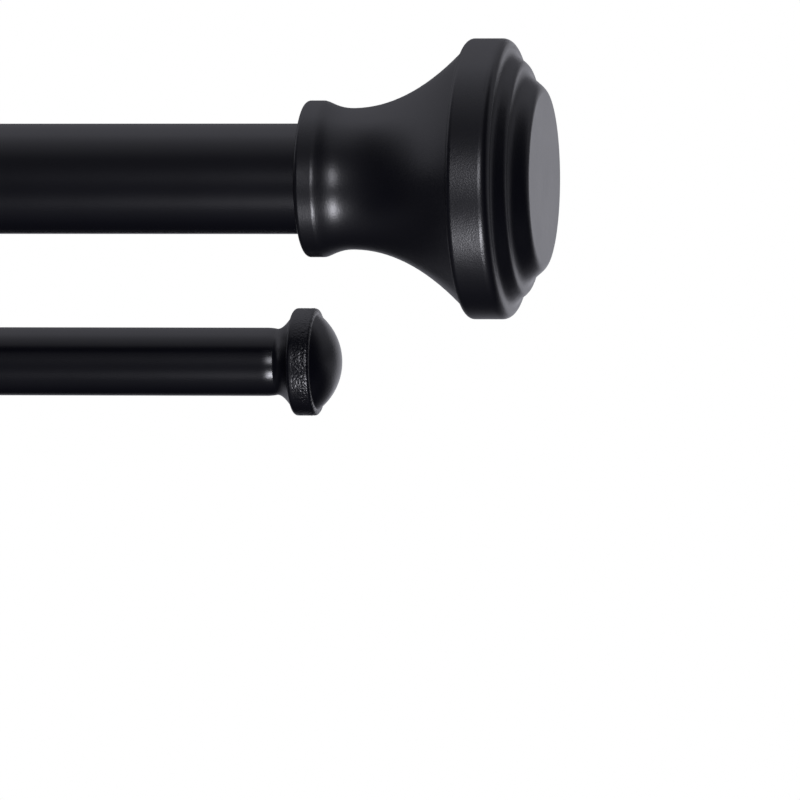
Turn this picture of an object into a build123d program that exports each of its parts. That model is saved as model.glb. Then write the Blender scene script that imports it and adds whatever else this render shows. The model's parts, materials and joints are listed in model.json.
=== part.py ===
from build123d import *
import os

# A telescoping double curtain rod on two wall brackets, in millimetres.
# X runs along the rods, the wall is the plane Y = 0 with the room towards -Y, and Z is up.
# The origin is the middle of the four wall screw holes. Side +1 is the right end, -1 the left.

os.makedirs("parts", exist_ok=True)

# Rods: each has a thick outer tube on the right and a thin inner tube that pulls out to the left
rod_length = 711.0  # front rod closed up, from tube end to tube end
back_setback = 37.5  # how far each end of the back rod stops short of the front one
mouth_reveal = 6.0  # inner tube that shows at the left when the rod is closed up
hidden_gap = 5.0  # from the inner tube's hidden end to the plug or cap at the right
front_tube_diameter = 25.4
front_tube_wall = 0.8
front_slide_gap = 0.8  # radial space between the outer tube's bore and the inner tube
front_inner_wall = 0.8
back_tube_diameter = 15.9
back_tube_wall = 0.7
back_slide_gap = 0.9
back_inner_wall = 0.7
tube_edge = 0.4  # rounding of the tube ends

# Fits, as radial clearances
press_fit = 0.02
running_fit = 0.05

# Limits on roundings
rounding_share = 0.8  # most of a wall or step that a rounding takes
corner_share = 0.4  # most of a width that a corner takes

# Bush in an outer tube's mouth, and sleeve on an inner tube's hidden end
bush_length = 22.0
bush_flange = 2.0
sleeve_length = 28.0
sleeve_lip = 1.2

# Plug and stud that hold a finial
plug_length = 22.0
plug_flange = 1.5
plug_lead = 1.0  # chamfer at the plug's inner end
plug_web = 7.5  # solid end of the plug behind the stud
skirt_inset = 1.0  # from the finial's mouth to the left plug's skirt
stud_diameter = 6.0
stud_chamfer = 0.6

# Finial: lengths along its axis from the open end, radii built up from the socket
socket_depth = 22.0
socket_clearance = 0.2
socket_chamfer = 0.6
seat_gap = 0.1  # between the plug's flange and the socket's bottom
insert_diameter = 9.0
insert_length = 12.0
insert_chamfer = 0.4
stud_relief = 3.0  # bore beyond the insert
neck_wall = 3.35
collar_length = 4.0
collar_rise = 1.75
collar_slope = 6.8
collar_edge_radius = 1.0
collar_ease = 1.4  # how far the slope keeps the collar's direction
neck_ease = 3.8  # how far the slope keeps the neck's direction
flare_length = 27.1
flare_rise = 14.2
band_lip = 1.75
band_width = 10.15
band_back_radius = 1.4
band_front_radius = 2.35
lower_tread = 4.25
lower_step = 3.15
upper_tread = 5.9
upper_step = 4.2
tread_ease = 0.45  # share of a tread over which it stays nearly flat before its step
step_ease = 0.36  # share of a tread over which the step runs out flat

# Back rod's end cap
spigot_length = 16.0
spigot_lead = 1.0
cap_neck_inset = 0.25  # neck radius below the tube's
cap_neck_length = 4.0
cap_neck_ease = 1.6
cap_rim_overhang = 4.55  # rim radius above the outer tube's
cap_rim_step = 1.2
cap_rim_width = 5.55
cap_rim_radius = 0.9
cap_lip_width = 1.4
cap_dome_height = 5.4

# Brackets: where they stand and where they hold the rods
bracket_inset = 150.5  # from the front tube's end to the middle of the bracket
back_reach = 64.0  # from the wall to the back rod's axis
rod_spacing = 60.0  # between the axes, measured out from the wall
front_height = 5.0  # front rod's axis above the wall plate's middle
rod_drop = 30.0  # back rod's axis below the front rod's
cradle_clearance = 0.15

# Wall plate
plate_width = 34.0
plate_height = 92.0
plate_thickness = 3.5
plate_corner = 12.0
plate_edge = 0.8
wall_hole_inset = 12.0  # from the plate's top or bottom to a hole's centre
wall_hole_diameter = 5.0
countersink_diameter = 8.8
countersink_angle = 90.0

# Arm: a strip folded down the plate at the wall and into the front cradle
arm_width = 20.0
arm_thickness = 3.0
arm_bend = 5.0  # to the middle of the strip, as are the other bends
arm_leg = 2.5  # straight strip between the front bend and the cradle
arm_flange = 30.0
arm_lip = 8.0  # tip of the lip above the rod's axis
arm_tip_radius = 6.0

# Back hook: a strip under the arm, folded down into the back cradle
hook_width = 16.0
hook_thickness = 2.5
hook_bend = 4.0
hook_flange = 28.0
hook_lip = 7.0
hook_tip_radius = 5.0
strip_edge = 0.5

# Rivets and thumbscrews
rivet_diameter = 5.0
rivet_head_diameter = 8.0
rivet_head_height = 2.0
rivet_tail_diameter = 7.0
rivet_tail_height = 1.0
rivet_recess = 0.2  # a wall rivet's end lies this far inside the plate's back
flange_rivet_spacing = 12.0
hook_rivet_spacing = 10.0
screw_diameter = 5.0
screw_tip_gap = 0.1
screw_tip_chamfer = 0.5
screw_neck = 2.5
screw_shoulder_diameter = 8.5
screw_shoulder_length = 1.5
screw_head_diameter = 12.0
screw_head_length = 6.5
screw_button_inset = 1.4
screw_button_height = 0.8
flute_count = 24
flute_radius = 0.55

# Radii worked out from the tubes
front_radius = front_tube_diameter / 2
front_bore = front_radius - front_tube_wall
front_inner_radius = front_bore - front_slide_gap
front_inner_bore = front_inner_radius - front_inner_wall
back_radius = back_tube_diameter / 2
back_bore = back_radius - back_tube_wall
back_inner_radius = back_bore - back_slide_gap
back_inner_bore = back_inner_radius - back_inner_wall
stud_radius = stud_diameter / 2
insert_radius = insert_diameter / 2

# Axes and places along X
back_y = -back_reach
front_y = back_y - rod_spacing
front_z = front_height
back_z = front_z - rod_drop
front_axis = Axis((0, front_y, front_z), (1, 0, 0))
back_axis = Axis((0, back_y, back_z), (1, 0, 0))
front_end = rod_length / 2
socket_bottom = front_end + plug_flange + seat_gap
collar_edge = socket_bottom - socket_depth
front_mouth = -collar_edge + mouth_reveal + bush_flange
front_hidden_end = front_end - plug_length - hidden_gap - sleeve_lip
back_end = front_end - back_setback
back_mouth = -back_end + mouth_reveal + bush_flange
back_hidden_end = back_end - spigot_length - hidden_gap - sleeve_lip


def save(builder, name):
    """Label a finished piece and write it to its own file."""
    builder.part.label = name
    export_step(builder.part, f"parts/{name}.step")


def end_plane(axis, x, side):
    """Half-section through a rod: first coordinate out along the rod, second the radius."""
    origin = (x, axis.position.Y, axis.position.Z)
    return Plane(origin=origin, x_dir=(side, 0, 0), z_dir=(0, -side, 0))


def wall_plane(x, y, z):
    """Plane that faces the room."""
    return Plane(origin=(x, y, z), x_dir=(1, 0, 0), z_dir=(0, -1, 0))


def build_tube(axis, radius, wall, x_left, x_right):
    section = Plane(origin=(x_left, axis.position.Y, axis.position.Z), x_dir=(0, 1, 0), z_dir=(1, 0, 0))
    with BuildPart() as tube:
        with BuildSketch(section):
            Circle(radius)
            Circle(radius - wall, mode=Mode.SUBTRACT)
        extrude(amount=x_right - x_left)
        outer_rims = tube.edges().filter_by(GeomType.CIRCLE).sort_by(SortBy.RADIUS)[-2:]
        fillet(outer_rims, min(tube_edge, rounding_share * wall))
    return tube


def build_turned(axis, x, side, outline):
    """A turned piece from its half-section outline."""
    with BuildPart() as turned:
        with BuildSketch(end_plane(axis, x, side)):
            with BuildLine():
                Polyline(*outline, close=True)
            make_face()
        revolve(axis=axis)
    return turned


def build_mouth_bush(axis, mouth, tube_radius, bore, inner_radius):
    """Flanged bush in the left mouth of an outer tube, in which the inner tube runs."""
    body_radius = bore - press_fit
    hole_radius = inner_radius + running_fit
    outline = [
        (-bush_length, hole_radius),
        (-bush_length, body_radius),
        (0, body_radius),
        (0, tube_radius),
        (bush_flange, tube_radius),
        (bush_flange, hole_radius),
    ]
    return build_turned(axis, mouth, -1, outline)


def build_guide_sleeve(axis, hidden_end, bore, inner_radius, inner_bore):
    """Sleeve over an inner tube's hidden end, which runs in the outer tube's bore."""
    run_radius = bore - running_fit
    seat_radius = inner_radius + press_fit
    outline = [
        (-sleeve_length, seat_radius),
        (-sleeve_length, run_radius),
        (sleeve_lip, run_radius),
        (sleeve_lip, inner_bore),
        (0, inner_bore),
        (0, seat_radius),
    ]
    return build_turned(axis, hidden_end, 1, outline)


def build_plug(side, tube_radius, bore):
    """Plug in a front tube's end. On a thin tube a skirt fills the finial's socket around it."""
    body_radius = bore - press_fit
    stud_hole = stud_radius + press_fit
    stud_seat = plug_web - plug_length
    outline = [(-plug_length, 0), (-plug_length, body_radius - plug_lead)]
    outline += [(plug_lead - plug_length, body_radius), (0, body_radius)]
    if tube_radius < front_radius:
        skirt_end = skirt_inset - (front_end - collar_edge)
        skirt_bore = tube_radius + press_fit
        outline += [(0, skirt_bore), (skirt_end, skirt_bore), (skirt_end, front_radius)]
    else:
        outline += [(0, front_radius)]
    outline += [(plug_flange, front_radius), (plug_flange, stud_hole)]
    outline += [(stud_seat, stud_hole), (stud_seat, 0)]
    return build_turned(front_axis, side * front_end, side, outline)


def build_stud(side):
    """Threaded stud, as its outer cylinder, from the plug to the end of the finial's insert."""
    start = plug_web - plug_length
    end = plug_flange + seat_gap + insert_length
    outline = [
        (start, 0),
        (start, stud_radius - stud_chamfer),
        (start + stud_chamfer, stud_radius),
        (end - stud_chamfer, stud_radius),
        (end, stud_radius - stud_chamfer),
        (end, 0),
    ]
    return build_turned(front_axis, side * front_end, side, outline)


def build_insert(side):
    """Threaded insert at the bottom of the finial's socket."""
    bore = stud_radius + running_fit
    outline = [
        (0, bore),
        (0, insert_radius),
        (insert_length - insert_chamfer, insert_radius),
        (insert_length, insert_radius - insert_chamfer),
        (insert_length, bore),
    ]
    return build_turned(front_axis, side * socket_bottom, side, outline)


def build_finial(side):
    """Collar, neck and flare up to a band, then two soft steps to a flat face."""
    socket_radius = front_radius + socket_clearance
    neck_radius = socket_radius + neck_wall
    collar_radius = neck_radius + collar_rise
    flare_radius = neck_radius + flare_rise
    band_radius = flare_radius + band_lip
    ledge_radius = band_radius - band_front_radius
    lower_radius = ledge_radius - lower_tread
    face_radius = lower_radius - upper_tread
    neck = collar_length + collar_slope
    band_back = neck + flare_length
    band_front = band_back + band_width
    lower_front = band_front + lower_step
    face = lower_front + upper_step
    pocket_radius = insert_radius + press_fit
    pocket_end = socket_depth + insert_length
    bore_radius = stud_radius + running_fit
    bore_end = pocket_end + stud_relief
    back_rounding = min(band_back_radius, rounding_share * band_lip)
    with BuildPart() as finial:
        with BuildSketch(end_plane(front_axis, side * collar_edge, side)):
            with BuildLine():
                mouth = Line((0, socket_radius + socket_chamfer), (0, collar_radius - collar_edge_radius))
                mouth_round = JernArc(mouth @ 1, mouth % 1, collar_edge_radius, -90)
                collar = Line(mouth_round @ 1, (collar_length, collar_radius))
                slope = Bezier(
                    collar @ 1,
                    (collar_length + collar_ease, collar_radius),
                    (neck - neck_ease, neck_radius),
                    (neck, neck_radius),
                )
                flare = Bezier(slope @ 1, (neck + flare_length / 2, neck_radius), (band_back, flare_radius))
                back = Line(flare @ 1, (band_back, band_radius - back_rounding))
                back_round = JernArc(back @ 1, back % 1, back_rounding, -90)
                band = Line(back_round @ 1, (band_front - band_front_radius, band_radius))
                band_round = JernArc(band @ 1, band % 1, band_front_radius, -90)
                lower = Bezier(
                    band_round @ 1,
                    (band_front, ledge_radius - tread_ease * lower_tread),
                    (lower_front, lower_radius + step_ease * lower_tread),
                    (lower_front, lower_radius),
                )
                upper = Bezier(
                    lower @ 1,
                    (lower_front, lower_radius - tread_ease * upper_tread),
                    (face, face_radius + step_ease * upper_tread),
                    (face, face_radius),
                )
                Polyline(
                    upper @ 1,
                    (face, 0),
                    (bore_end, 0),
                    (bore_end, bore_radius),
                    (pocket_end, bore_radius),
                    (pocket_end, pocket_radius),
                    (socket_depth, pocket_radius),
                    (socket_depth, socket_radius),
                    (socket_chamfer, socket_radius),
                    mouth @ 0,
                )
            make_face()
        revolve(axis=front_axis)
    return finial


def build_cap(side, tube_radius, bore):
    """Moulded end cap: spigot in the tube, flared neck, banded rim and a low dome."""
    spigot_radius = bore - press_fit
    neck_radius = tube_radius - cap_neck_inset
    rim_radius = back_radius + cap_rim_overhang
    rim_foot = rim_radius - cap_rim_step
    rim_front = cap_neck_length + cap_rim_width
    rim_rounding = min(cap_rim_radius, rounding_share * cap_rim_step, rounding_share * cap_lip_width)
    dome_radius = rim_radius - cap_lip_width
    with BuildPart() as cap:
        with BuildSketch(end_plane(back_axis, side * back_end, side)):
            with BuildLine():
                spigot = Polyline(
                    (-spigot_length, 0),
                    (-spigot_length, spigot_radius - spigot_lead),
                    (spigot_lead - spigot_length, spigot_radius),
                    (0, spigot_radius),
                    (0, neck_radius),
                )
                cove = Bezier(spigot @ 1, (cap_neck_ease, neck_radius), (cap_neck_length, rim_foot))
                back = Line(cove @ 1, (cap_neck_length, rim_radius - rim_rounding))
                back_round = JernArc(back @ 1, back % 1, rim_rounding, -90)
                rim = Line(back_round @ 1, (rim_front - rim_rounding, rim_radius))
                rim_round = JernArc(rim @ 1, rim % 1, rim_rounding, -90)
                lip = Line(rim_round @ 1, (rim_front, dome_radius))
                dome = TangentArc((rim_front + cap_dome_height, 0), lip @ 1, tangent=(0, 1))
                Line(dome @ 0, spigot @ 0)
            make_face()
        revolve(axis=back_axis)
    return cap


# Bracket: one strip profile for each cradle, in the plane across the rods
arm_z = front_z + arm_leg + arm_bend
arm_cup = front_radius + cradle_clearance + arm_thickness / 2
arm_flange_y = -plate_thickness - arm_thickness / 2
arm_flange_end = arm_z - arm_flange
arm_flange_front = -plate_thickness - arm_thickness
arm_underside = arm_z - arm_thickness / 2
arm_top = arm_z + arm_thickness / 2
hook_z = arm_underside - hook_thickness / 2
hook_underside = arm_underside - hook_thickness
hook_cup = back_radius + cradle_clearance + hook_thickness / 2
hook_leg_y = back_y + hook_cup
flange_rivet_middle = arm_z - (arm_bend + arm_flange) / 2
flange_rivet_places = [flange_rivet_middle + end * flange_rivet_spacing / 2 for end in (-1, 1)]
hook_rivet_middle = hook_leg_y + (hook_bend + hook_flange) / 2
hook_rivet_places = [hook_rivet_middle + end * hook_rivet_spacing / 2 for end in (-1, 1)]
wall_hole_z = plate_height / 2 - wall_hole_inset
rivet_hole = rivet_diameter / 2 + press_fit
screw_hole = screw_diameter / 2 + running_fit


def build_plate(x):
    front_planes = [wall_plane(x, -plate_thickness, z) for z in (-wall_hole_z, wall_hole_z)]
    rivet_planes = [wall_plane(x, -plate_thickness, z) for z in flange_rivet_places]
    with BuildPart() as plate:
        with BuildSketch(wall_plane(x, 0, 0)):
            RectangleRounded(plate_width, plate_height, min(plate_corner, corner_share * plate_width))
        extrude(amount=plate_thickness)
        fillet(plate.faces().sort_by(Axis.Y)[0].edges(), plate_edge)
        with Locations(*front_planes):
            CounterSinkHole(
                wall_hole_diameter / 2, countersink_diameter / 2, counter_sink_angle=countersink_angle
            )
        with Locations(*rivet_planes):
            Hole(rivet_hole)
    return plate


def build_arm(x):
    lip_front = front_y - arm_cup - arm_thickness / 2
    tip_rounding = min(arm_tip_radius, rounding_share * arm_lip, corner_share * arm_width)
    rivet_planes = [wall_plane(x, arm_flange_front, z) for z in flange_rivet_places]
    hook_planes = [Plane(origin=(x, y, arm_top)) for y in hook_rivet_places]
    with BuildPart() as arm:
        with BuildSketch(Plane.YZ.offset(x - arm_width / 2)):
            with BuildLine():
                FilletPolyline(
                    (arm_flange_y, arm_flange_end),
                    (arm_flange_y, arm_z),
                    (front_y + arm_cup, arm_z),
                    (front_y + arm_cup, front_z),
                    radius=arm_bend,
                )
                cradle = CenterArc((front_y, front_z), arm_cup, 0, -180)
                Line(cradle @ 1, (front_y - arm_cup, front_z + arm_lip))
            trace(line_width=arm_thickness)
        extrude(amount=arm_width)
        corners = arm.edges().filter_by(Axis.Y)
        fillet(corners.group_by(Axis.Y)[0] + corners.group_by(Axis.Y)[-1], tip_rounding)
        fillet(arm.faces().filter_by(Axis.X).edges(), strip_edge)
        with Locations(wall_plane(x, lip_front, front_z)):
            Hole(screw_hole, depth=2 * arm_thickness)
        with Locations(*rivet_planes):
            Hole(rivet_hole, depth=2 * arm_thickness)
        with Locations(*hook_planes):
            Hole(rivet_hole, depth=2 * arm_thickness)
    return arm


def build_hook(x):
    lip_front = back_y - hook_cup - hook_thickness / 2
    tip_rounding = min(hook_tip_radius, rounding_share * hook_lip, corner_share * hook_width)
    rivet_planes = [Plane(origin=(x, y, hook_underside)) for y in hook_rivet_places]
    with BuildPart() as hook:
        with BuildSketch(Plane.YZ.offset(x - hook_width / 2)):
            with BuildLine():
                FilletPolyline(
                    (hook_leg_y + hook_flange, hook_z),
                    (hook_leg_y, hook_z),
                    (hook_leg_y, back_z),
                    radius=hook_bend,
                )
                cradle = CenterArc((back_y, back_z), hook_cup, 0, -180)
                Line(cradle @ 1, (back_y - hook_cup, back_z + hook_lip))
            trace(line_width=hook_thickness)
        extrude(amount=hook_width)
        flange_corners = hook.faces().sort_by(Axis.Y)[-1].edges().filter_by(Axis.Z)
        lip_corners = hook.edges().filter_by(Axis.Y).group_by(Axis.Y)[0]
        fillet(flange_corners + lip_corners, tip_rounding)
        fillet(hook.faces().filter_by(Axis.X).edges(), strip_edge)
        with Locations(wall_plane(x, lip_front, back_z)):
            Hole(screw_hole, depth=2 * hook_thickness)
        with Locations(*rivet_planes):
            Hole(rivet_hole, depth=2 * hook_thickness)
    return hook


def build_rivets(x):
    """Two rivets from the arm's flange into the plate, and two from the arm into the hook.

    Each stands on its head's plane and is outlined from the dome, through its grip, to its far end.
    The wall rivets end inside the plate, and the others in a flat tail under the hook."""
    shank_radius = rivet_diameter / 2
    head_radius = rivet_head_diameter / 2
    tail_radius = rivet_tail_diameter / 2
    flange_end = rivet_recess - arm_thickness - plate_thickness
    flange_foot = [(shank_radius, flange_end), (0, flange_end)]
    hook_end = -arm_thickness - hook_thickness
    tail_end = hook_end - rivet_tail_height
    hook_foot = [(shank_radius, hook_end), (tail_radius, hook_end), (tail_radius, tail_end), (0, tail_end)]
    flange_planes = [wall_plane(x, arm_flange_front, z) for z in flange_rivet_places]
    hook_planes = [Plane(origin=(x, y, arm_top)) for y in hook_rivet_places]
    rivet_kinds = [(plane, flange_foot) for plane in flange_planes]
    rivet_kinds += [(plane, hook_foot) for plane in hook_planes]
    with BuildPart() as rivets:
        for head_plane, foot in rivet_kinds:
            section = Plane(origin=head_plane.origin, x_dir=head_plane.x_dir, z_dir=-head_plane.y_dir)
            with BuildSketch(section):
                with BuildLine():
                    dome = TangentArc((0, rivet_head_height), (head_radius, 0), tangent=(1, 0))
                    Polyline(dome @ 1, (shank_radius, 0), *foot, dome @ 0)
                make_face()
            revolve(axis=Axis(head_plane.origin, head_plane.z_dir))
    return rivets


def build_screw(x, axis, rod_radius, lip_thickness):
    """Thumbscrew through a cradle's lip, with its knurled head to the room."""
    rod_front = axis.position.Y - rod_radius
    tip_y = rod_front - screw_tip_gap
    head_y = rod_front - cradle_clearance - lip_thickness - screw_neck
    shoulder_y = head_y + screw_shoulder_length
    head_radius = screw_head_diameter / 2
    rod_z = axis.position.Z
    with BuildPart() as screw:
        with BuildSketch(wall_plane(x, tip_y, rod_z)):
            Circle(screw_diameter / 2)
        extrude(amount=tip_y - head_y)
        chamfer(screw.edges().filter_by(GeomType.CIRCLE).sort_by(Axis.Y)[-1], screw_tip_chamfer)
        with BuildSketch(wall_plane(x, shoulder_y, rod_z)):
            Circle(screw_shoulder_diameter / 2)
        extrude(amount=screw_shoulder_length)
        with BuildSketch(wall_plane(x, head_y, rod_z)):
            Circle(head_radius)
            with PolarLocations(head_radius, flute_count):
                Circle(flute_radius, mode=Mode.SUBTRACT)
        extrude(amount=screw_head_length)
        with BuildSketch(wall_plane(x, head_y - screw_head_length, rod_z)):
            Circle(head_radius - screw_button_inset)
        extrude(amount=screw_button_height)
        fillet(screw.edges().filter_by(GeomType.CIRCLE).sort_by(Axis.Y)[0], screw_button_height / 2)
    return screw


# Front rod
save(build_tube(front_axis, front_radius, front_tube_wall, front_mouth, front_end), "front_outer_tube")
save(
    build_tube(front_axis, front_inner_radius, front_inner_wall, -front_end, front_hidden_end),
    "front_inner_tube",
)
save(
    build_mouth_bush(front_axis, front_mouth, front_radius, front_bore, front_inner_radius),
    "front_mouth_bush",
)
save(
    build_guide_sleeve(front_axis, front_hidden_end, front_bore, front_inner_radius, front_inner_bore),
    "front_guide_sleeve",
)
save(build_plug(1, front_radius, front_bore), "front_right_plug")
save(build_plug(-1, front_inner_radius, front_inner_bore), "front_left_plug")
for side, side_name in ((1, "right"), (-1, "left")):
    save(build_stud(side), f"front_{side_name}_stud")
    save(build_insert(side), f"front_{side_name}_insert")
    save(build_finial(side), f"front_{side_name}_finial")

# Back rod
save(build_tube(back_axis, back_radius, back_tube_wall, back_mouth, back_end), "back_outer_tube")
save(
    build_tube(back_axis, back_inner_radius, back_inner_wall, -back_end, back_hidden_end),
    "back_inner_tube",
)
save(build_mouth_bush(back_axis, back_mouth, back_radius, back_bore, back_inner_radius), "back_mouth_bush")
save(
    build_guide_sleeve(back_axis, back_hidden_end, back_bore, back_inner_radius, back_inner_bore),
    "back_guide_sleeve",
)
save(build_cap(1, back_radius, back_bore), "back_right_cap")
save(build_cap(-1, back_inner_radius, back_inner_bore), "back_left_cap")

# Brackets
for side, side_name in ((1, "right"), (-1, "left")):
    bracket_x = side * (front_end - bracket_inset)
    save(build_plate(bracket_x), f"{side_name}_wall_plate")
    save(build_arm(bracket_x), f"{side_name}_arm")
    save(build_hook(bracket_x), f"{side_name}_back_hook")
    save(build_rivets(bracket_x), f"{side_name}_rivets")
    save(build_screw(bracket_x, front_axis, front_radius, arm_thickness), f"{side_name}_front_screw")
    save(build_screw(bracket_x, back_axis, back_radius, hook_thickness), f"{side_name}_back_screw")
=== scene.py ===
# %% [markdown]
# # Dressing a double curtain rod
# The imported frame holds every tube, finial, cap, bracket and screw of the rod at its true size and place.
# This lesson sets up the photographer's view, mixes the finishes, and models again the pieces whose
# surface needs more than the frame's own mesh: the tubes and the moulded end caps.

# %% Load the frame
import json
import math

import bmesh
import bpy
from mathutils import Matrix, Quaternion, Vector

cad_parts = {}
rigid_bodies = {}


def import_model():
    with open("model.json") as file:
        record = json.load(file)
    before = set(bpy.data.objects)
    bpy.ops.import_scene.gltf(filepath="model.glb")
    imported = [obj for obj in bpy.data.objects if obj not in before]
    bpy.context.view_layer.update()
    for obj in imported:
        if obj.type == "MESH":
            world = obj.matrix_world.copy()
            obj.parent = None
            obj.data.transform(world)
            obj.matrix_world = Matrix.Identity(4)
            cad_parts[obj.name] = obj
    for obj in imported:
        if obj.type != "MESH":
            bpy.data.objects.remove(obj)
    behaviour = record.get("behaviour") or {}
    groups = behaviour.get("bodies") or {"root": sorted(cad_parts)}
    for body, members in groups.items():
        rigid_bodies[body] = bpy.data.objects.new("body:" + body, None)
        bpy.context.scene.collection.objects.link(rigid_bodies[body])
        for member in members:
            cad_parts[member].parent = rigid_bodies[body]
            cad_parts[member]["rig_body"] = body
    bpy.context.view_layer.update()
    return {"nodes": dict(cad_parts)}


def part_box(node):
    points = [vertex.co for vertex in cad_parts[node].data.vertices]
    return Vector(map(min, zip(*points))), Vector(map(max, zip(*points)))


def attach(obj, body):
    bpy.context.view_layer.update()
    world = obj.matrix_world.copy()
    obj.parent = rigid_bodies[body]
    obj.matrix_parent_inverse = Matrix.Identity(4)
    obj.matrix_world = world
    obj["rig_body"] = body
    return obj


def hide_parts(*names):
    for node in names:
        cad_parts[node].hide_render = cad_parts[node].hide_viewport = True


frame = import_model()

mm = 0.001

# %% [markdown]
# ## A clean selection
# An operator acts on everything that is selected, and a freshly loaded frame is selected all over.
# So each step starts from an empty selection, and what it adds is then the only thing it works on.


# %% Selection helper
def select_nothing():
    """Clears the selection, so that the next operator touches only what it adds."""
    bpy.ops.object.select_all(action="DESELECT")


select_nothing()
print(len(bpy.context.selected_objects), "objects selected")

# %% [markdown]
# ## The camera
# The photograph looks up at the right-hand ends from the front right. A near camera would make the rods
# run together, but in the photograph they stay parallel, so a long lens is used from far away. The camera
# stands on a line through the middle of the finial's rear edge, and is then turned right and down until
# that point falls on the pixel where the photograph has it.

# %% Find the point to look at
finial_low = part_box("front_right_finial")[0]
front_low, front_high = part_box("front_outer_tube")
front_axis = (front_low + front_high) / 2
collar = Vector((finial_low.x, front_axis.y, front_axis.z))
print("the finial's rear edge is centred on", [round(value, 4) for value in collar])

# %% Aim at it
picture_side = 800
collar_pixel = (307.3, 178.8)
view_azimuth = math.radians(11.4)
view_elevation = math.radians(-12.606)
view_roll = math.radians(2.52)
lens_length = 783.8
sensor_side = 36.0


def direction(azimuth, elevation):
    """Unit vector from the rods: azimuth 0 is straight out from the wall, positive to the right."""
    level = math.cos(elevation)
    return Vector((math.sin(azimuth) * level, -math.cos(azimuth) * level, math.sin(elevation)))


pixel_lens = lens_length / sensor_side * picture_side
turn_right = math.atan((picture_side / 2 - collar_pixel[0]) / pixel_lens)
turn_down = math.atan((picture_side / 2 - collar_pixel[1]) / pixel_lens)
view_back = direction(view_azimuth, view_elevation)
aim = (-view_back).to_track_quat("-Z", "Y")
aim = aim @ Quaternion((0, 0, 1), view_roll)
aim = aim @ Quaternion((0, 1, 0), -turn_right)
aim = aim @ Quaternion((1, 0, 0), -turn_down)
print("turned", round(math.degrees(turn_right), 3), "and", round(math.degrees(turn_down), 3), "degrees")

# %% Place the camera
view_distance = 4.0

select_nothing()
bpy.ops.object.camera_add(location=collar + view_back * view_distance)
camera = bpy.context.object
camera.name = "photo_camera"
camera.rotation_mode = "QUATERNION"
camera.rotation_quaternion = aim
camera.data.lens = lens_length
camera.data.sensor_width = sensor_side
bpy.context.scene.camera = camera
bpy.context.scene.view_settings.view_transform = "Standard"
print("camera at", [round(value, 3) for value in camera.location])

# %% [markdown]
# ## The room that the paint mirrors
# Black paint shows little colour of its own: what the eye reads is what it mirrors. Walls and cards around
# the rods could be modelled, but they would shade the lamps. So the world itself holds a ring of tones:
# bright above and towards the wall, dark on the camera's side, and darker still to the front right and the
# front left. Only mirrored rays see the ring. The camera sees plain white, and all other rays a dim white.


# %% Node helpers
def add_node(tree, kind, place, values=None):
    """Adds a shader node at a place in the editor and fills in its unlinked inputs."""
    made = tree.nodes.new(kind)
    made.location = place
    for name, value in (values or {}).items():
        made.inputs[name].default_value = value
    return made


def add_math(tree, operation, place, first, second):
    """Adds a Math node whose inputs are sockets or plain numbers, and returns its output socket."""
    made = tree.nodes.new("ShaderNodeMath")
    made.operation = operation
    made.location = place
    for socket, source in zip(made.inputs, (first, second)):
        if isinstance(source, (int, float)):
            socket.default_value = source
        else:
            tree.links.new(source, socket)
    return made.outputs["Value"]


def add_mix(tree, place, share, first, second):
    """Adds a Mix Shader node between two shader sockets and returns its output socket."""
    made = add_node(tree, "ShaderNodeMixShader", place)
    for socket, source in zip(made.inputs, (share, first, second)):
        tree.links.new(source, socket)
    return made.outputs["Shader"]


# %% The ring of tones
room_tint = (0.97, 0.97, 1.09)
# Degrees of climb around the rods, where 0 is straight out from the wall and 90 is up, and the tone there.
room_ring = (
    (-180, 0.42),
    (-150, 0.01),
    (-120, 0.04),
    (-90, 0.12),
    (-60, 0.04),
    (-30, 0.10),
    (0, 0.11),
    (30, 0.15),
    (60, 0.49),
    (90, 0.77),
    (120, 0.40),
    (150, 0.15),
    (180, 0.42),
)

world = bpy.data.worlds.new("studio_room")
bpy.context.scene.world = world
world.use_nodes = True
tree = world.node_tree
tree.nodes.clear()
where = add_node(tree, "ShaderNodeTexCoord", (-1000, -100))
parts = add_node(tree, "ShaderNodeSeparateXYZ", (-800, -100))
tree.links.new(where.outputs["Generated"], parts.inputs["Vector"])
sideways = parts.outputs["X"]
outward = add_math(tree, "MULTIPLY", (-600, -200), parts.outputs["Y"], -1.0)
climb = add_math(tree, "ARCTAN2", (-400, -100), parts.outputs["Z"], outward)
turn = add_node(tree, "ShaderNodeMapRange", (-200, -100), {"From Min": -math.pi, "From Max": math.pi})
tree.links.new(climb, turn.inputs["Value"])
ring = add_node(tree, "ShaderNodeValToRGB", (0, -100))
tree.links.new(turn.outputs["Result"], ring.inputs["Fac"])
stops = ring.color_ramp.elements
while len(stops) < len(room_ring):
    stops.new(0.5)
for stop, (degrees, tone) in zip(stops, room_ring):
    stop.position = degrees / 360 + 0.5
    stop.color = (*(tone * share for share in room_tint), 1)
print("ring of", len(stops), "tones")

# %% Darker to the front right and the front left
right_loss = 0.95
left_loss = 0.7
# Each range is of one part of a mirrored ray's direction: no tone is lost at its first value.
right_range = (0.25, 0.6)
left_range = (-0.25, -0.6)
beside_range = (-0.3, 0.1)
ahead_range = (-0.1, 0.5)


def add_fade(tree, place, source, span, reach=1.0):
    """Adds a smooth climb from 0 at the span's first value to reach at its second."""
    values = {"From Min": span[0], "From Max": span[1], "To Max": reach}
    fade = add_node(tree, "ShaderNodeMapRange", place, values)
    fade.interpolation_type = "SMOOTHSTEP"
    tree.links.new(source, fade.inputs["Value"])
    return fade.outputs["Result"]


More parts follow.
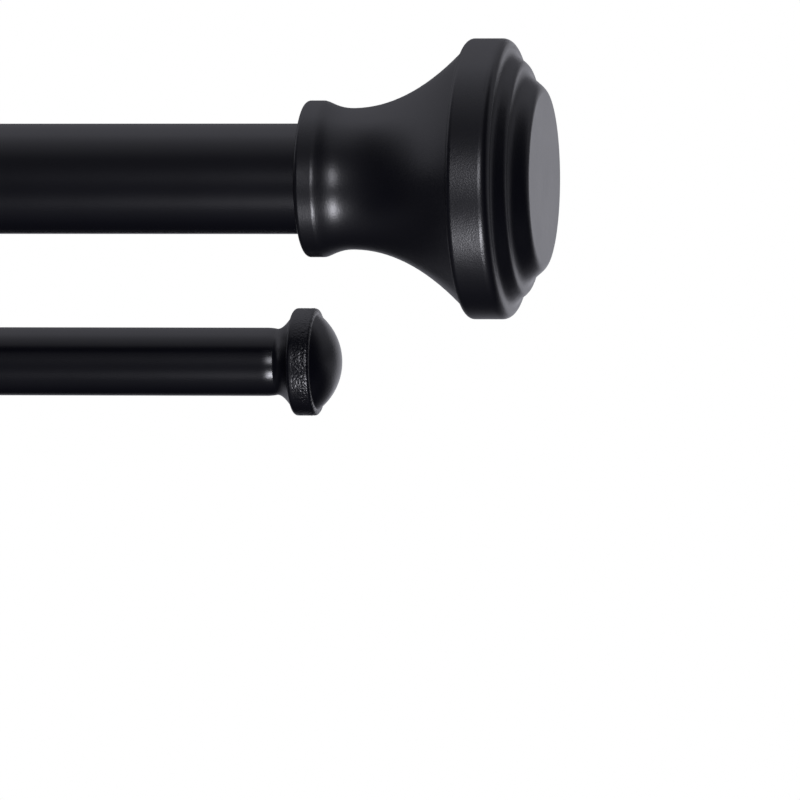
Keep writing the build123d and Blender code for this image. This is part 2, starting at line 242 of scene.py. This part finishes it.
right = add_fade(tree, (-400, -400), sideways, right_range, right_loss)
left = add_fade(tree, (-400, -700), sideways, left_range, left_loss)
beside = add_fade(tree, (-400, -1000), outward, beside_range)
ahead = add_fade(tree, (-400, -1300), outward, ahead_range)
right_dark = add_math(tree, "MULTIPLY", (-200, -500), right, beside)
left_dark = add_math(tree, "MULTIPLY", (-200, -800), left, ahead)
dark = add_math(tree, "ADD", (0, -600), right_dark, left_dark)
shade = add_math(tree, "SUBTRACT", (200, -600), 1.0, dark)
print("front right keeps", round(1 - right_loss, 2), "of the ring, front left", round(1 - left_loss, 2))

# %% What each kind of ray sees
plain_white = (1, 1, 1, 1)
room_level = 0.2


def add_seen(tree, path, place):
    """Adds the test for rays that come straight to the camera or through something clear."""
    straight = path.outputs["Is Camera Ray"]
    through = path.outputs["Is Transmission Ray"]
    return add_math(tree, "MAXIMUM", place, straight, through)


path = add_node(tree, "ShaderNodeLightPath", (-1000, 400))
seen = add_seen(tree, path, (400, 400))
white = add_node(tree, "ShaderNodeBackground", (400, 200), {"Color": plain_white})
dim = add_node(tree, "ShaderNodeBackground", (400, 50), {"Color": plain_white, "Strength": room_level})
mirrored = add_node(tree, "ShaderNodeBackground", (400, -100))
tree.links.new(ring.outputs["Color"], mirrored.inputs["Color"])
tree.links.new(shade, mirrored.inputs["Strength"])
by_gloss = add_mix(
    tree, (600, 0), path.outputs["Is Glossy Ray"], dim.outputs["Background"], mirrored.outputs["Background"]
)
by_sight = add_mix(tree, (800, 100), seen, by_gloss, white.outputs["Background"])
world_out = add_node(tree, "ShaderNodeOutputWorld", (1000, 100))
tree.links.new(by_sight, world_out.inputs["Surface"])
print("world", world.name, "with", len(tree.nodes), "nodes")

# %% [markdown]
# ## The floor
# The rods hang on a wall, so the floor lies well below them. A plain plane would hide the rods from a
# camera under it. So its shader is clear from below, and pale from above, where a little light of its
# own, for the camera only, keeps it even. The paint doesn't mirror it, because the ring of tones does
# that work.

# %% Lay the floor
floor_drop = 1.3
floor_size = 60.0
floor_tone = (0.80, 0.80, 0.80, 1)
floor_glow = 0.55
floor_roughness = 0.9
floor_specular = 0.1

select_nothing()
bpy.ops.mesh.primitive_plane_add(size=floor_size, location=(0, 0, -floor_drop))
floor = bpy.context.object
floor.name = "pale_floor"
floor.visible_glossy = False
print("floor", floor_drop, "m below the frame's origin")

# %% Paint the floor
floor_paint = bpy.data.materials.new("pale_floor_paint")
floor_paint.use_nodes = True
tree = floor_paint.node_tree
shader = tree.nodes["Principled BSDF"]
shader.inputs["Base Color"].default_value = floor_tone
shader.inputs["Roughness"].default_value = floor_roughness
shader.inputs["Specular IOR Level"].default_value = floor_specular
shader.inputs["Emission Color"].default_value = plain_white
path = add_node(tree, "ShaderNodeLightPath", (-700, -300))
seen = add_seen(tree, path, (-500, -300))
glow = add_math(tree, "MULTIPLY", (-300, -300), seen, floor_glow)
tree.links.new(glow, shader.inputs["Emission Strength"])
faces = add_node(tree, "ShaderNodeNewGeometry", (100, 400))
clear = add_node(tree, "ShaderNodeBsdfTransparent", (100, -400))
one_way = add_mix(
    tree, (400, 100), faces.outputs["Backfacing"], shader.outputs["BSDF"], clear.outputs["BSDF"]
)
output = tree.nodes["Material Output"]
output.location = (600, 100)
tree.links.new(one_way, output.inputs["Surface"])
floor.data.materials.append(floor_paint)
print("floor paint with", len(tree.nodes), "nodes")

# %% [markdown]
# ## The softboxes
# A softbox is a lamp behind white cloth, and satin paint mirrors it as a soft patch. An area lamp does the
# same. One stands level with the rods and one well below them, both to the right of the collar, so each
# turned shape shows two patches and each rod two faint streaks. A pale card behind lights the finial's
# flat face. The lamps are hidden from the camera.

# %% Set up the softboxes
lamp_tint = (0.97, 0.97, 1.05)


def add_softbox(name, along, climb, distance, width, height, brightness):
    """Adds an area lamp beside the front rod that faces the finial's collar.

    along is its place on X from the collar, climb its angle around the rod from straight out, in degrees,
    and distance its way from the rod's axis. A brightness of 1 is that of the white background."""
    angle = math.radians(climb)
    offset = Vector((along, -math.cos(angle) * distance, math.sin(angle) * distance))
    select_nothing()
    bpy.ops.object.light_add(type="AREA", location=collar + offset)
    box = bpy.context.object
    box.name = name
    box.rotation_mode = "QUATERNION"
    box.rotation_quaternion = (-offset).to_track_quat("-Z", "Y")
    box.data.shape = "RECTANGLE"
    box.data.size = width
    box.data.size_y = height
    box.data.color = lamp_tint
    box.data.energy = brightness * math.pi * width * height
    box.visible_camera = False
    print(name, "gives", round(box.data.energy, 2), "W")


add_softbox(
    "level_softbox", along=0.130, climb=-10, distance=0.90, width=0.22, height=0.30, brightness=9.8
)
add_softbox(
    "low_softbox", along=0.115, climb=-62.5, distance=0.90, width=0.22, height=0.30, brightness=24.0
)
add_softbox(
    "back_card", along=0.18, climb=167, distance=0.60, width=0.45, height=0.45, brightness=0.555
)

# %% [markdown]
# ## Shared effects as node groups
# Sprayed paint is never flat: it lies in soft ripples, with a finer grain on top. Moulded plastic carries
# the skin of its mould: fine grain and small pits. Each material could hold these nodes itself, but then a
# change would have to be made in all of them. So each effect is built once as a node group that puts out a
# height and a mottle, and every finish places it with its own scales.


# %% Group helpers
def new_group(name, inputs, outputs):
    """Makes a shader node group with float sockets and returns it with its two end nodes."""
    group = bpy.data.node_groups.new(name, "ShaderNodeTree")
    for label, value in inputs.items():
        socket = group.interface.new_socket(name=label, in_out="INPUT", socket_type="NodeSocketFloat")
        socket.default_value = value
    for label in outputs:
        group.interface.new_socket(name=label, in_out="OUTPUT", socket_type="NodeSocketFloat")
    start = add_node(group, "NodeGroupInput", (-900, 0))
    end = add_node(group, "NodeGroupOutput", (200, 0))
    return group, start, end


def add_noise(tree, place, coordinates, scale, detail, roughness):
    """Adds a noise texture on the given coordinates and returns its value."""
    noise = add_node(tree, "ShaderNodeTexNoise", place, {"Detail": detail, "Roughness": roughness})
    tree.links.new(coordinates, noise.inputs["Vector"])
    tree.links.new(scale, noise.inputs["Scale"])
    return noise.outputs["Fac"]


# %% Paint skin
paint_skin, start, end = new_group(
    "paint_skin",
    {"Ripple Scale": 250.0, "Grain Scale": 2500.0, "Grain Share": 0.4, "Mottle Scale": 90.0},
    ("Height", "Mottle"),
)
where = add_node(paint_skin, "ShaderNodeTexCoord", (-900, 300))
spot = where.outputs["Object"]
ripple_scale = start.outputs["Ripple Scale"]
grain_scale = start.outputs["Grain Scale"]
mottle_scale = start.outputs["Mottle Scale"]
ripple = add_noise(paint_skin, (-600, 300), spot, ripple_scale, detail=2.0, roughness=0.5)
grain = add_noise(paint_skin, (-600, 0), spot, grain_scale, detail=1.0, roughness=0.5)
mottle = add_noise(paint_skin, (-600, -300), spot, mottle_scale, detail=4.0, roughness=0.6)
grain_part = add_math(paint_skin, "MULTIPLY", (-300, 0), grain, start.outputs["Grain Share"])
height = add_math(paint_skin, "ADD", (0, 200), ripple, grain_part)
paint_skin.links.new(height, end.inputs["Height"])
paint_skin.links.new(mottle, end.inputs["Mottle"])
print("group", paint_skin.name, "with", len(paint_skin.nodes), "nodes")

# %% Moulded skin
moulded_skin, start, end = new_group(
    "moulded_skin",
    {"Grain Scale": 1800.0, "Pit Scale": 900.0, "Pit Share": 0.5, "Mottle Scale": 150.0},
    ("Height", "Mottle"),
)
where = add_node(moulded_skin, "ShaderNodeTexCoord", (-900, 300))
spot = where.outputs["Object"]
grain_scale = start.outputs["Grain Scale"]
mottle_scale = start.outputs["Mottle Scale"]
grain = add_noise(moulded_skin, (-600, 300), spot, grain_scale, detail=2.0, roughness=0.6)
mottle = add_noise(moulded_skin, (-600, -300), spot, mottle_scale, detail=3.0, roughness=0.55)
pits = add_node(moulded_skin, "ShaderNodeTexVoronoi", (-600, 0))
moulded_skin.links.new(spot, pits.inputs["Vector"])
moulded_skin.links.new(start.outputs["Pit Scale"], pits.inputs["Scale"])
pit_depth = pits.outputs["Distance"]
pit_part = add_math(moulded_skin, "MULTIPLY", (-300, 0), pit_depth, start.outputs["Pit Share"])
height = add_math(moulded_skin, "ADD", (0, 200), grain, pit_part)
moulded_skin.links.new(height, end.inputs["Height"])
moulded_skin.links.new(mottle, end.inputs["Mottle"])
print("group", moulded_skin.name, "with", len(moulded_skin.nodes), "nodes")

# %% [markdown]
# ## The finishes
# The rods have a smooth satin paint, the finials a rougher one that spreads its highlights, and the
# brackets a powder coat. The caps, bushes and plugs are moulded plastic, and the studs, inserts and screws
# are metal. A flat colour for each would look dead in close views. So one recipe serves them all: the
# group's mottle moves the colour between two close tones and the roughness between two values, and its
# height goes through a Bump node.


# %% One recipe for a finish
def mix_finish(name, group, scales, tones, roughness, bump, metallic=0.0, specular=0.5):
    """Makes a material from a skin group.

    tones and roughness are each a pair that the mottle moves between, bump is a height in metres, and
    metallic and specular are plain values of the whole finish."""
    finish = bpy.data.materials.new(name)
    finish.use_nodes = True
    tree = finish.node_tree
    shader = tree.nodes["Principled BSDF"]
    shader.inputs["Metallic"].default_value = metallic
    shader.inputs["Specular IOR Level"].default_value = specular
    skin = add_node(tree, "ShaderNodeGroup", (-900, 0))
    skin.node_tree = group
    for label, value in scales.items():
        skin.inputs[label].default_value = value

    tone = add_node(tree, "ShaderNodeMix", (-500, 300))
    tone.data_type = "RGBA"
    tree.links.new(skin.outputs["Mottle"], tone.inputs["Factor"])
    colour_inputs = [socket for socket in tone.inputs if socket.type == "RGBA"]
    for socket, colour in zip(colour_inputs, tones):
        socket.default_value = (*colour, 1)
    colour_output = next(socket for socket in tone.outputs if socket.type == "RGBA")
    tree.links.new(colour_output, shader.inputs["Base Color"])

    low, high = roughness
    sheen = add_node(tree, "ShaderNodeMapRange", (-500, 0), {"To Min": low, "To Max": high})
    tree.links.new(skin.outputs["Mottle"], sheen.inputs["Value"])
    tree.links.new(sheen.outputs["Result"], shader.inputs["Roughness"])

    relief = add_node(tree, "ShaderNodeBump", (-300, -300), {"Strength": 1.0, "Distance": bump})
    tree.links.new(skin.outputs["Height"], relief.inputs["Height"])
    tree.links.new(relief.outputs["Normal"], shader.inputs["Normal"])
    print("finish", name)
    return finish


# %% Scales and tones
rod_scales = {"Ripple Scale": 180.0, "Grain Scale": 3200.0, "Grain Share": 0.15, "Mottle Scale": 60.0}
finial_scales = {"Ripple Scale": 260.0, "Grain Scale": 3000.0, "Grain Share": 1.0, "Mottle Scale": 90.0}
powder_scales = {"Ripple Scale": 900.0, "Grain Scale": 3000.0, "Grain Share": 0.5, "Mottle Scale": 120.0}
metal_scales = {"Ripple Scale": 400.0, "Grain Scale": 4000.0, "Grain Share": 0.8, "Mottle Scale": 300.0}
cap_scales = {"Grain Scale": 2400.0, "Pit Scale": 1400.0, "Pit Share": 0.6, "Mottle Scale": 160.0}
nylon_scales = {"Grain Scale": 2000.0, "Pit Scale": 700.0, "Pit Share": 0.3, "Mottle Scale": 120.0}

satin_tones = ((0.0008, 0.0009, 0.0028), (0.0012, 0.0013, 0.0038))
powder_tones = ((0.007, 0.007, 0.009), (0.011, 0.011, 0.013))
bush_tones = ((0.016, 0.016, 0.016), (0.022, 0.022, 0.022))
plug_tones = ((0.62, 0.61, 0.57), (0.68, 0.67, 0.63))
zinc_tones = ((0.58, 0.59, 0.61), (0.66, 0.67, 0.68))
brass_tones = ((0.72, 0.53, 0.24), (0.80, 0.61, 0.30))
screw_tones = ((0.012, 0.012, 0.013), (0.020, 0.020, 0.022))
print("satin black moves between", *satin_tones)

# %% Mix every finish
finishes = {
    "rod_paint": mix_finish(
        "satin_rod_paint", paint_skin, rod_scales, satin_tones,
        roughness=(0.235, 0.265), bump=0.004 * mm,
    ),
    "finial_paint": mix_finish(
        "satin_finial_paint", paint_skin, finial_scales, satin_tones,
        roughness=(0.31, 0.35), bump=0.022 * mm, specular=0.62,
    ),
    "bracket_paint": mix_finish(
        "powder_coat", paint_skin, powder_scales, powder_tones,
        roughness=(0.42, 0.50), bump=0.012 * mm,
    ),
    "cap_plastic": mix_finish(
        "moulded_cap_plastic", moulded_skin, cap_scales, satin_tones,
        roughness=(0.26, 0.32), bump=0.014 * mm,
    ),
    "slide_plastic": mix_finish(
        "bush_nylon", moulded_skin, nylon_scales, bush_tones,
        roughness=(0.40, 0.52), bump=0.008 * mm,
    ),
    "plug_plastic": mix_finish(
        "plug_nylon", moulded_skin, nylon_scales, plug_tones,
        roughness=(0.38, 0.48), bump=0.008 * mm,
    ),
    "stud_steel": mix_finish(
        "zinc_steel", paint_skin, metal_scales, zinc_tones,
        roughness=(0.26, 0.36), bump=0.004 * mm, metallic=1.0,
    ),
    "insert_brass": mix_finish(
        "turned_brass", paint_skin, metal_scales, brass_tones,
        roughness=(0.24, 0.34), bump=0.004 * mm, metallic=1.0,
    ),
    "screw_black": mix_finish(
        "blackened_steel", paint_skin, metal_scales, screw_tones,
        roughness=(0.30, 0.42), bump=0.006 * mm, metallic=0.3,
    ),
}

# %% [markdown]
# ## Dressing the solids
# The frame's own meshes are fine enough for the finials, brackets, screws and inner parts, so these keep
# them. Every solid comes with one slot, named for what it is made of, and its finish goes into that slot.

# %% Dress every solid
worn = set()
for solid in frame["nodes"].values():
    slot = solid.material_slots[0]
    worn.add(slot.material.name)
    slot.material = finishes[slot.material.name]
print(len(frame["nodes"]), "solids dressed in", len(worn), "finishes")

# %% [markdown]
# ## Turning a piece ring by ring
# A lathe piece is round in every cut across its axis. An outline could be spun around that axis, but the
# spin leaves a seam to be merged. So the piece starts as one circle, and each further point of its outline
# is one extrusion along the axis and one resize. An outline that comes back to its start closes on itself
# like a tube. One that ends near the axis is merged to a pole.

# %% A lathe made of extrusions
merge_gap = 0.001 * mm
smooth_limit = math.radians(40)
quarter_turn = math.radians(90)


def turn_rings(name, axis, start, side, outline, sides):
    """Turns an outline of (distance, radius) points: distances run from start along side * X."""
    first_distance, first_radius = outline[0]
    hollow = outline[0] == outline[-1]
    select_nothing()
    bpy.ops.mesh.primitive_circle_add(
        vertices=sides,
        radius=first_radius,
        fill_type="NOTHING" if hollow else "NGON",
        location=(start + side * first_distance, axis.y, axis.z),
        rotation=(0, quarter_turn, 0),
    )
    piece = bpy.context.object
    piece.name = name
    bpy.ops.object.transform_apply(location=True, rotation=True, scale=True)
    bpy.ops.object.mode_set(mode="EDIT")
    bpy.ops.mesh.select_all(action="SELECT")
    for (distance, radius), (next_distance, next_radius) in zip(outline, outline[1:]):
        step = side * (next_distance - distance)
        growth = next_radius / radius
        bpy.ops.mesh.extrude_region_move(TRANSFORM_OT_translate={"value": (step, 0, 0)})
        bpy.ops.transform.resize(value=(1, growth, growth), center_override=(0, axis.y, axis.z))
    if not hollow:
        bpy.ops.mesh.merge(type="CENTER")
    bpy.ops.mesh.select_all(action="SELECT")
    bpy.ops.mesh.remove_doubles(threshold=merge_gap)
    bpy.ops.mesh.normals_make_consistent(inside=False)
    bpy.ops.object.mode_set(mode="OBJECT")
    bpy.ops.object.shade_smooth_by_angle(angle=smooth_limit)
    return piece


def curl(distance, radius, bend, turn, steps):
    """Outline of an outer edge that curls in: an arc of radius bend that ends at the given distance."""
    arc_start = distance - bend * math.sin(turn)
    angles = [turn * step / steps for step in range(steps + 1)]
    return [(arc_start + bend * math.sin(angle), radius - bend * (1 - math.cos(angle))) for angle in angles]


def settle(piece, body, node):
    """Hands a finished piece to the frame: what it rides on, and the solid it stands for."""
    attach(piece, body)
    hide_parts(node)
    print(piece.name, "stands for", node, "with", len(piece.data.polygons), "faces")


# %% [markdown]
# ## The tubes
# A steel tube is a plain hollow cylinder, but the frame's mesh of a long tube is coarse, and a satin
# highlight shows every flat. So each tube is turned again with many more sides. At the end caps the back
# rod's tubes curl in a little, as a rolled end does, and catch the light there. Every other rim is only
# broken. A guard ring just inside each edge keeps the smooth shading of that edge off the long wall.

# %% Model a tube
tube_sides = 192
cut_bend = 0.4 * mm
rolled_bend = 12.5 * mm
rolled_turn = math.radians(12)
edge_steps = 8
guard_width = 0.3 * mm
rolled_ends = {"back_outer_tube": 1, "back_inner_tube": -1}


def model_tube(node, wall):
    """Turns the painted tube that fills the box of one CAD tube, from its plain end to its other end."""
    low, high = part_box(node)
    axis = (low + high) / 2
    radius = (high.y - low.y) / 2
    length = high.x - low.x
    side = rolled_ends.get(node, 1)
    start = low.x if side > 0 else high.x
    cut = curl(length, radius, cut_bend, quarter_turn, edge_steps)
    near = [(length - distance, size) for distance, size in reversed(cut)]
    far = cut
    if node in rolled_ends:
        far = curl(length, radius, rolled_bend, rolled_turn, edge_steps)
    guards = [(near[-1][0] + guard_width, radius), (far[0][0] - guard_width, radius)]
    bore = [(length, radius - wall), (0, radius - wall)]
    outline = [bore[-1]] + near + guards + far + bore
    return turn_rings("painted_" + node, axis, start, side, outline, tube_sides)


# %% Make the four tubes
tube_walls = {
    "front_outer_tube": 0.8 * mm,
    "front_inner_tube": 0.8 * mm,
    "back_outer_tube": 0.7 * mm,
    "back_inner_tube": 0.7 * mm,
}

for node, wall in tube_walls.items():
    tube = model_tube(node, wall)
    tube.data.materials.append(finishes["rod_paint"])
    settle(tube, frame["nodes"][node]["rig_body"], node)

# %% [markdown]
# ## The end caps
# Each cap is one moulding: a spigot in the tube, a flared neck, a banded rim and a low dome. The mould
# closes along the rim's front edge. Its skin is rough there, with an uneven line of flash, and gets
# smoother towards the tube. Bump alone would leave the rim's outline smooth. So the rim is turned in many
# narrow bands, two vertex groups mark the skin and the flash, and a Displace modifier with a cloud texture
# moves each group by about a tenth of a millimetre.

# %% Outline of a cap
spigot_reach = 16.0 * mm
spigot_lead = 1.0 * mm
neck_inset = 0.25 * mm
neck_ease = 1.6 * mm
neck_reach = 4.0 * mm
neck_steps = 12
rim_step = 1.2 * mm
rim_reach = 9.55 * mm
rim_bend = 0.9 * mm
rim_bend_steps = 6
rim_bands = 30
lip_width = 1.4 * mm
dome_steps = 24
pole_radius = 0.02 * mm


def neck_outline(neck, foot):
    """A flare that leaves the tube's end level and climbs to the foot of the rim."""
    points = []
    for step in range(1, neck_steps + 1):
        part = step / neck_steps
        distance = 2 * part * (1 - part) * neck_ease + part**2 * neck_reach
        points.append((distance, neck + part**2 * (foot - neck)))
    return points


def rim_outline(rim_radius):
    """A flat band, cut into narrow bands, between two rounded edges."""
    front = curl(rim_reach, rim_radius, rim_bend, quarter_turn, rim_bend_steps)
    back = [(neck_reach + rim_reach - distance, size) for distance, size in reversed(front)]
    flat_start = neck_reach + rim_bend
    flat_width = rim_reach - neck_reach - 2 * rim_bend
    flat = [(flat_start + flat_width * band / rim_bands, rim_radius) for band in range(1, rim_bands)]
    return back + flat + front


def dome_outline(base, reach):
    """Part of a ball that stands on the rim's front and reaches the cap's tip."""
    rise = reach - rim_reach
    ball = (base**2 + rise**2) / (2 * rise)
    tilt = math.asin(base / ball)
    angles = [tilt * (1 - step / dome_steps) for step in range(dome_steps)]
    arc = [(reach - ball * (1 - math.cos(angle)), ball * math.sin(angle)) for angle in angles]
    return arc + [(reach, pole_radius)]


def cap_outline(rim_radius, tube_radius, spigot_radius, reach):
    """Outline of a cap from the end of its spigot to the top of its dome."""
    neck = tube_radius - neck_inset
    spigot = [
        (-spigot_reach, spigot_radius - spigot_lead),
        (spigot_lead - spigot_reach, spigot_radius),
        (0, spigot_radius),
        (0, neck),
    ]
    flare = neck_outline(neck, rim_radius - rim_step)
    return spigot + flare + rim_outline(rim_radius) + dome_outline(rim_radius - lip_width, reach)


# %% Rough skin
cloud_depth = 2
cloud_middle = 0.6


def mark(piece, name, wanted):
    """Puts the vertices that wanted() accepts into a new vertex group of the piece."""
    bpy.ops.object.mode_set(mode="EDIT")
    bpy.ops.mesh.select_mode(type="VERT")
    bpy.ops.mesh.select_all(action="DESELECT")
    mesh = bmesh.from_edit_mesh(piece.data)
    for vert in mesh.verts:
        if wanted(vert):
            vert.select_set(True)
    mesh.select_flush_mode()
    bmesh.update_edit_mesh(piece.data)
    bpy.ops.object.vertex_group_add()
    piece.vertex_groups.active.name = name
    bpy.ops.object.vertex_group_assign()
    bpy.ops.object.mode_set(mode="OBJECT")


def roughen(piece, group, size, depth):
    """Displaces one vertex group with clouds of the given size, and applies the modifier."""
    clouds = bpy.data.textures.new(piece.name + "_" + group, type="CLOUDS")
    clouds.noise_scale = size
    clouds.noise_depth = cloud_depth
    bpy.ops.object.modifier_add(type="DISPLACE")
    displace = piece.modifiers[-1]
    displace.texture = clouds
    displace.texture_coords = "LOCAL"
    displace.vertex_group = group
    displace.strength = depth
    displace.mid_level = cloud_middle
    bpy.ops.object.modifier_apply(modifier=displace.name)


# %% Model a cap
cap_sides = 576
spigot_clearance = 0.02 * mm
skin_start = 5.5 * mm
skin_band = 0.05 * mm
skin_grain = 0.34 * mm
skin_depth = 0.14 * mm
flash_start = 7.4 * mm
flash_grain = 0.36 * mm
flash_depth = 0.20 * mm


def model_cap(node, side, tube_node):
    """Turns the cap that fills the box of one CAD cap, and roughens its rim."""
    low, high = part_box(node)
    tube_low, tube_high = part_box(tube_node)
    axis = (low + high) / 2
    rim_radius = (high.y - low.y) / 2
    tube_radius = (tube_high.y - tube_low.y) / 2
    spigot_radius = tube_radius - tube_walls[tube_node] - spigot_clearance
    start = tube_high.x if side > 0 else tube_low.x
    tip = high.x if side > 0 else low.x
    outline = cap_outline(rim_radius, tube_radius, spigot_radius, abs(tip - start))
    cap = turn_rings("moulded_" + node, axis, start, side, outline, cap_sides)

    def off_axis(vert):
        return math.hypot(vert.co.y - axis.y, vert.co.z - axis.z)

    def along(vert):
        return side * (vert.co.x - start)

    def on_skin(vert):
        return off_axis(vert) > rim_radius - skin_band and along(vert) > skin_start

    def on_flash(vert):
        return off_axis(vert) > rim_radius - rim_bend and along(vert) > flash_start

    mark(cap, "rim_skin", on_skin)
    mark(cap, "flash", on_flash)
    roughen(cap, "rim_skin", skin_grain, skin_depth)
    roughen(cap, "flash", flash_grain, flash_depth)
    return cap


# %% Make the two caps
cap_places = (
    ("back_right_cap", 1, "back_outer_tube"),
    ("back_left_cap", -1, "back_inner_tube"),
)

for node, side, tube_node in cap_places:
    cap = model_cap(node, side, tube_node)
    cap.data.materials.append(finishes["cap_plastic"])
    settle(cap, frame["nodes"][node]["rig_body"], node)
